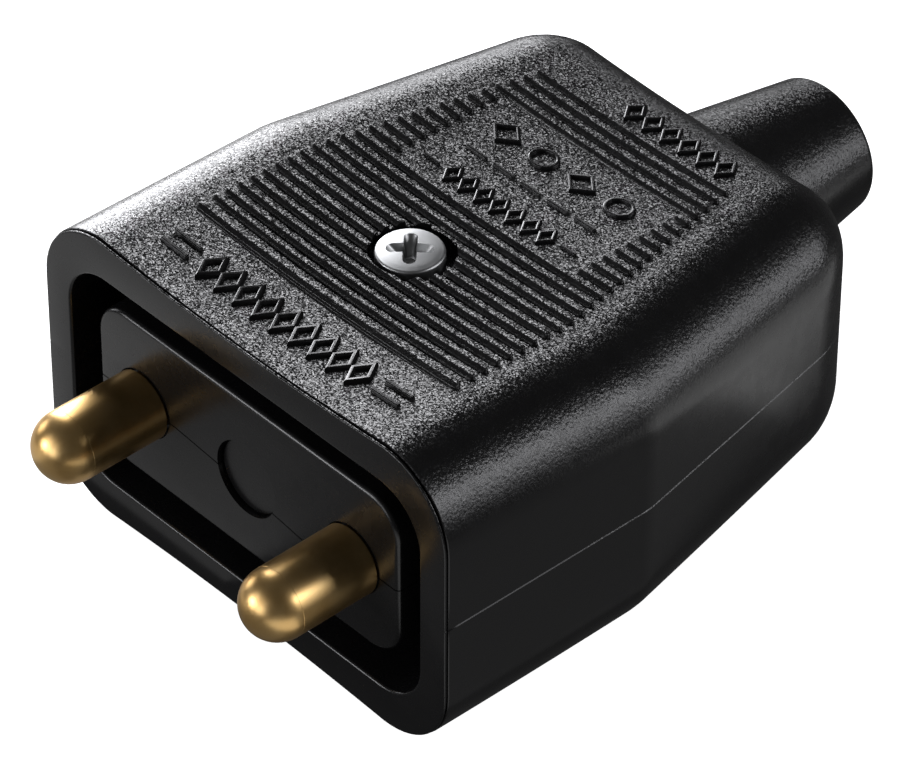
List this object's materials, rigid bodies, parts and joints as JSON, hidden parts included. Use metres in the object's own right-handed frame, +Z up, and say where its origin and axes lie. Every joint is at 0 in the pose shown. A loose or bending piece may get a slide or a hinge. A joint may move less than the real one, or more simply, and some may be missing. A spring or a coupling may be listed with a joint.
{
  "type": "in-line cable connector",
  "caption": "Two-pin in-line cable connector with a ribbed two-part plastic shell, a skirt around the pins and a tapered cable sleeve.",
  "frame": {"origin": "centre of the bounding box in plan, at the lowest point of the body", "axes": "+X across the width between the pins, +Y along the cable axis from the pins towards the cable sleeve, +Z up through the thickness"},
  "size_m": [0.0394, 0.062, 0.0235],
  "materials": {
    "shell_plastic": "semi-gloss moulded black with a fine spark-eroded grain",
    "pin_brass": "satin turned brass, lightly tarnished",
    "zinc_steel": "bright white zinc plate",
    "clamp_plastic": "plain moulded black"
  },
  "bodies": {
    "root": {"top_cover": "shell_plastic", "base": "shell_plastic", "left_pin": "pin_brass", "right_pin": "pin_brass", "terminal_screws": "zinc_steel", "cover_screw": "zinc_steel", "cover_nut": "zinc_steel", "cord_clamp": "clamp_plastic", "clamp_screws": "zinc_steel", "cable_sleeve": "shell_plastic"}
  },
  "joints": []
}
